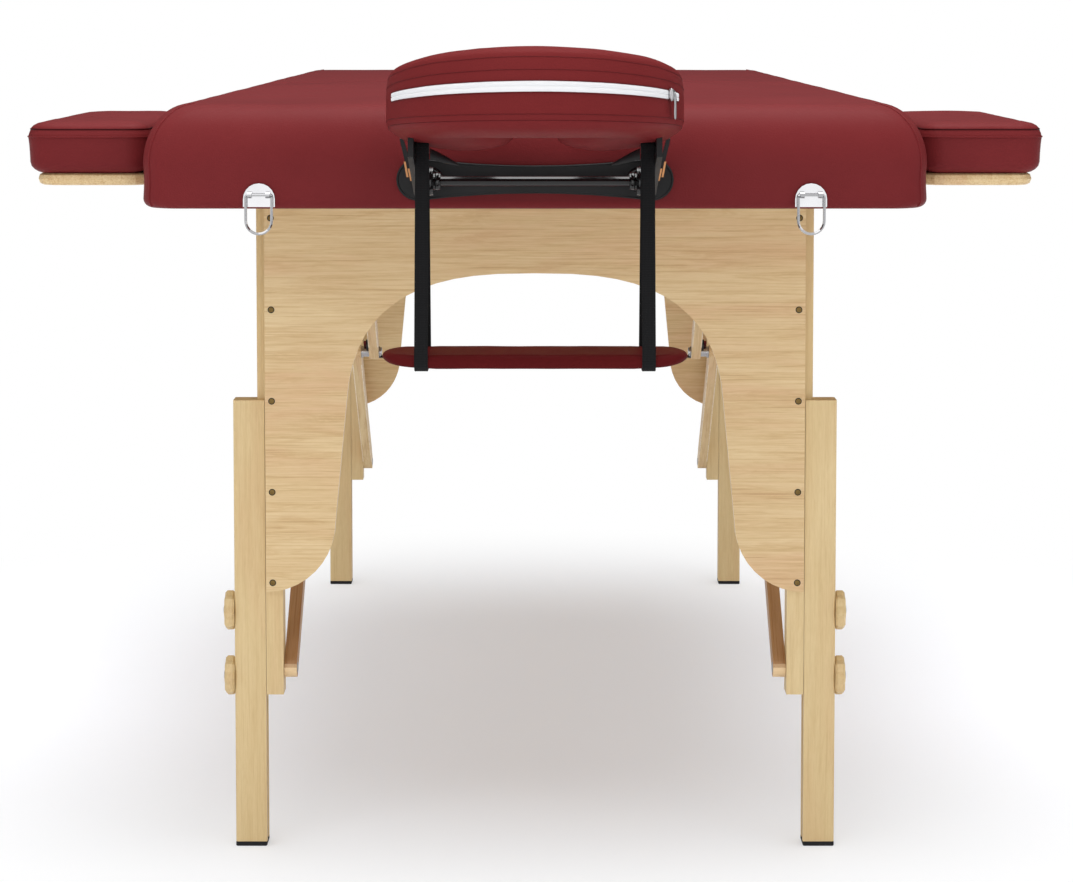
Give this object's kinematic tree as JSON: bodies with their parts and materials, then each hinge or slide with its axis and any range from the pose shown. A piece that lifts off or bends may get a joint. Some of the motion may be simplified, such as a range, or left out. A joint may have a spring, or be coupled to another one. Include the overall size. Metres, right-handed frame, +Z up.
{
  "type": "massage table",
  "caption": "Folding massage table with a padded top, height-adjustable wooden legs, a face cradle, a hanging arm shelf and pull-out side armrests.",
  "frame": {"origin": "on the floor, at the middle of the bounding box", "axes": "+Z up, +Y from the head end towards the foot end, +X to the right seen from the head end"},
  "size_m": [0.997, 2.1416, 0.8323],
  "materials": {
    "vinyl_padding": "grained vinyl over foam",
    "rubber": "matte",
    "plywood": "raw",
    "chrome": "polished",
    "steel": "plain",
    "black_steel": "black satin",
    "black_plastic": "satin",
    "webbing": "woven",
    "beech": "clear lacquer"
  },
  "bodies": {
    "head_half": {"head_pad": "vinyl_padding", "head_frame": "beech", "head_deck": "plywood", "head_hinge_leaf": "steel", "head_leg_pivot_rod": "steel", "ring_plate_left": "chrome", "ring_plate_right": "chrome", "outlet_plate": "black_plastic"},
    "foot_half": {"foot_pad": "vinyl_padding", "foot_frame": "beech", "foot_deck": "plywood", "foot_hinge_leaf": "steel", "foot_leg_pivot_rod": "steel"},
    "head_leg_frame": {"head_end_panel": "beech", "head_inner_leg_left": "beech", "head_inner_leg_right": "beech"},
    "head_outer_leg_left": {"head_outer_leg_left": "beech", "head_foot_pad_left": "rubber"},
    "head_knob_low_left": {"head_knob_low_left": "beech"},
    "head_knob_high_left": {"head_knob_high_left": "beech"},
    "head_lower_brace_left": {"head_lower_brace_left": "beech"},
    "head_upper_brace_left": {"head_upper_brace_left": "beech"},
    "head_outer_leg_right": {"head_outer_leg_right": "beech", "head_foot_pad_right": "rubber"},
    "head_knob_low_right": {"head_knob_low_right": "beech"},
    "head_knob_high_right": {"head_knob_high_right": "beech"},
    "head_lower_brace_right": {"head_lower_brace_right": "beech"},
    "head_upper_brace_right": {"head_upper_brace_right": "beech"},
    "foot_leg_frame": {"foot_end_panel": "beech", "foot_inner_leg_left": "beech", "foot_inner_leg_right": "beech"},
    "foot_outer_leg_left": {"foot_outer_leg_left": "beech", "foot_foot_pad_left": "rubber"},
    "foot_knob_low_left": {"foot_knob_low_left": "beech"},
    "foot_knob_high_left": {"foot_knob_high_left": "beech"},
    "foot_lower_brace_left": {"foot_lower_brace_left": "beech"},
    "foot_upper_braces": {"foot_upper_brace_left": "beech", "foot_upper_brace_right": "beech", "foot_knee_bar": "black_steel"},
    "foot_outer_leg_right": {"foot_outer_leg_right": "beech", "foot_foot_pad_right": "rubber"},
    "foot_knob_low_right": {"foot_knob_low_right": "beech"},
    "foot_knob_high_right": {"foot_knob_high_right": "beech"},
    "foot_lower_brace_right": {"foot_lower_brace_right": "beech"},
    "cradle_base": {"cradle_post_left": "black_steel", "cradle_post_right": "black_steel", "tilt_rod": "black_steel"},
    "cradle_platform": {"cradle_platform": "black_plastic", "face_cushion": "vinyl_padding"},
    "cam_lever_left": {"cam_lever_left": "black_plastic"},
    "ring_left": {"ring_left": "chrome"},
    "armrest_left": {"armrest_pad_left": "vinyl_padding", "armrest_board_left": "beech"},
    "cam_lever_right": {"cam_lever_right": "black_plastic"},
    "ring_right": {"ring_right": "chrome"},
    "armrest_right": {"armrest_pad_right": "vinyl_padding", "armrest_board_right": "beech"},
    "arm_shelf": {"arm_shelf_pad": "vinyl_padding", "shelf_strap_left": "webbing", "shelf_strap_right": "webbing"}
  },
  "joints": [
    {"name": "table_fold", "type": "hinge", "parent": "head_half", "child": "foot_half", "pos_m": [0, 0.14382, 0.6703], "axis": [-1, 0, 0], "range_deg": [0, 80]},
    {"name": "head_leg_fold", "type": "hinge", "parent": "head_half", "child": "head_leg_frame", "pos_m": [0, -0.56668, 0.6948], "axis": [1, 0, 0], "range_deg": [0, 89]},
    {"name": "head_outer_leg_left_slide", "type": "slide", "parent": "head_leg_frame", "child": "head_outer_leg_left", "axis": [0, 0, 1], "range_m": [-0.068, 0.136]},
    {"name": "head_knob_low_left_turn", "type": "hinge", "parent": "head_leg_frame", "child": "head_knob_low_left", "pos_m": [-0.3091, -0.56668, 0.1765], "axis": [-1, 0, 0], "continuous": true},
    {"name": "head_knob_high_left_turn", "type": "hinge", "parent": "head_leg_frame", "child": "head_knob_high_left", "pos_m": [-0.3091, -0.56668, 0.2445], "axis": [-1, 0, 0], "continuous": true},
    {"name": "head_lower_brace_left_fold", "type": "hinge", "parent": "head_leg_frame", "child": "head_lower_brace_left", "pos_m": [0, -0.56668, 0.1846], "axis": [1, 0, 0], "range_deg": [0, 54.04]},
    {"name": "head_upper_brace_left_fold", "type": "hinge", "parent": "head_half", "child": "head_upper_brace_left", "pos_m": [0, 0.11882, 0.68283], "axis": [1, 0, 0], "range_deg": [-37.76, 0]},
    {"name": "head_outer_leg_right_slide", "type": "slide", "parent": "head_leg_frame", "child": "head_outer_leg_right", "axis": [0, 0, 1], "range_m": [-0.068, 0.136]},
    {"name": "head_knob_low_right_turn", "type": "hinge", "parent": "head_leg_frame", "child": "head_knob_low_right", "pos_m": [0.3091, -0.56668, 0.1765], "axis": [1, 0, 0], "continuous": true},
    {"name": "head_knob_high_right_turn", "type": "hinge", "parent": "head_leg_frame", "child": "head_knob_high_right", "pos_m": [0.3091, -0.56668, 0.2445], "axis": [1, 0, 0], "continuous": true},
    {"name": "head_lower_brace_right_fold", "type": "hinge", "parent": "head_leg_frame", "child": "head_lower_brace_right", "pos_m": [0, -0.56668, 0.1846], "axis": [1, 0, 0], "range_deg": [0, 54.04]},
    {"name": "head_upper_brace_right_fold", "type": "hinge", "parent": "head_half", "child": "head_upper_brace_right", "pos_m": [0, 0.11882, 0.68283], "axis": [1, 0, 0], "range_deg": [-37.76, 0]},
    {"name": "foot_leg_fold", "type": "hinge", "parent": "foot_half", "child": "foot_leg_frame", "pos_m": [0, 0.85432, 0.6948], "axis": [-1, 0, 0], "range_deg": [0, 89]},
    {"name": "foot_outer_leg_left_slide", "type": "slide", "parent": "foot_leg_frame", "child": "foot_outer_leg_left", "axis": [0, 0, 1], "range_m": [-0.068, 0.136]},
    {"name": "foot_knob_low_left_turn", "type": "hinge", "parent": "foot_leg_frame", "child": "foot_knob_low_left", "pos_m": [-0.3091, 0.85432, 0.1765], "axis": [-1, 0, 0], "continuous": true},
    {"name": "foot_knob_high_left_turn", "type": "hinge", "parent": "foot_leg_frame", "child": "foot_knob_high_left", "pos_m": [-0.3091, 0.85432, 0.2445], "axis": [-1, 0, 0], "continuous": true},
    {"name": "foot_lower_brace_left_fold", "type": "hinge", "parent": "foot_leg_frame", "child": "foot_lower_brace_left", "pos_m": [0, 0.85432, 0.1846], "axis": [-1, 0, 0], "range_deg": [0, 54.04]},
    {"name": "foot_upper_braces_fold", "type": "hinge", "parent": "foot_half", "child": "foot_upper_braces", "pos_m": [0, 0.16882, 0.68283], "axis": [-1, 0, 0], "range_deg": [-37.76, 0]},
    {"name": "foot_outer_leg_right_slide", "type": "slide", "parent": "foot_leg_frame", "child": "foot_outer_leg_right", "axis": [0, 0, 1], "range_m": [-0.068, 0.136]},
    {"name": "foot_knob_low_right_turn", "type": "hinge", "parent": "foot_leg_frame", "child": "foot_knob_low_right", "pos_m": [0.3091, 0.85432, 0.1765], "axis": [1, 0, 0], "continuous": true},
    {"name": "foot_knob_high_right_turn", "type": "hinge", "parent": "foot_leg_frame", "child": "foot_knob_high_right", "pos_m": [0.3091, 0.85432, 0.2445], "axis": [1, 0, 0], "continuous": true},
    {"name": "foot_lower_brace_right_fold", "type": "hinge", "parent": "foot_leg_frame", "child": "foot_lower_brace_right", "pos_m": [0, 0.85432, 0.1846], "axis": [-1, 0, 0], "range_deg": [0, 54.04]},
    {"name": "cradle_slide", "type": "slide", "parent": "head_half", "child": "cradle_base", "axis": [0, -1, 0], "range_m": [0, 0.06]},
    {"name": "cradle_tilt", "type": "hinge", "parent": "cradle_base", "child": "cradle_platform", "pos_m": [0, -0.81318, 0.7015], "axis": [-1, 0, 0], "range_deg": [-25, 12]},
    {"name": "cam_lever_left_swing", "type": "hinge", "parent": "cradle_base", "child": "cam_lever_left", "pos_m": [-0.1188, -0.81318, 0.7015], "axis": [0, -1, 0], "range_deg": [0, 90]},
    {"name": "ring_left_swing", "type": "hinge", "parent": "head_half", "child": "ring_left", "pos_m": [-0.2619, -0.78858, 0.6869], "axis": [-1, 0, 0], "range_deg": [0, 100]},
    {"name": "armrest_left_slide", "type": "slide", "parent": "head_half", "child": "armrest_left", "axis": [-1, 0, 0], "range_m": [0, 0.028]},
    {"name": "cam_lever_right_swing", "type": "hinge", "parent": "cradle_base", "child": "cam_lever_right", "pos_m": [0.1188, -0.81318, 0.7015], "axis": [0, 1, 0], "range_deg": [0, 90]},
    {"name": "ring_right_swing", "type": "hinge", "parent": "head_half", "child": "ring_right", "pos_m": [0.2619, -0.78858, 0.6869], "axis": [-1, 0, 0], "range_deg": [0, 100]},
    {"name": "armrest_right_slide", "type": "slide", "parent": "head_half", "child": "armrest_right", "axis": [1, 0, 0], "range_m": [0, 0.028]},
    {"name": "shelf_swing", "type": "hinge", "parent": "cradle_platform", "child": "arm_shelf", "pos_m": [0, -0.92202, 0.73728], "axis": [1, 0, 0], "range_deg": [-20, 20]}
  ],
  "couplings": [
    {"joint": "head_lower_brace_left_fold", "follows": "head_leg_fold", "ratio": 0.60662},
    {"joint": "head_upper_brace_left_fold", "follows": "head_leg_fold", "ratio": -0.42371},
    {"joint": "head_lower_brace_right_fold", "follows": "head_leg_fold", "ratio": 0.60662},
    {"joint": "head_upper_brace_right_fold", "follows": "head_leg_fold", "ratio": -0.42371},
    {"joint": "foot_lower_brace_left_fold", "follows": "foot_leg_fold", "ratio": 0.60662},
    {"joint": "foot_upper_braces_fold", "follows": "foot_leg_fold", "ratio": -0.42371},
    {"joint": "foot_lower_brace_right_fold", "follows": "foot_leg_fold", "ratio": 0.60662}
  ]
}
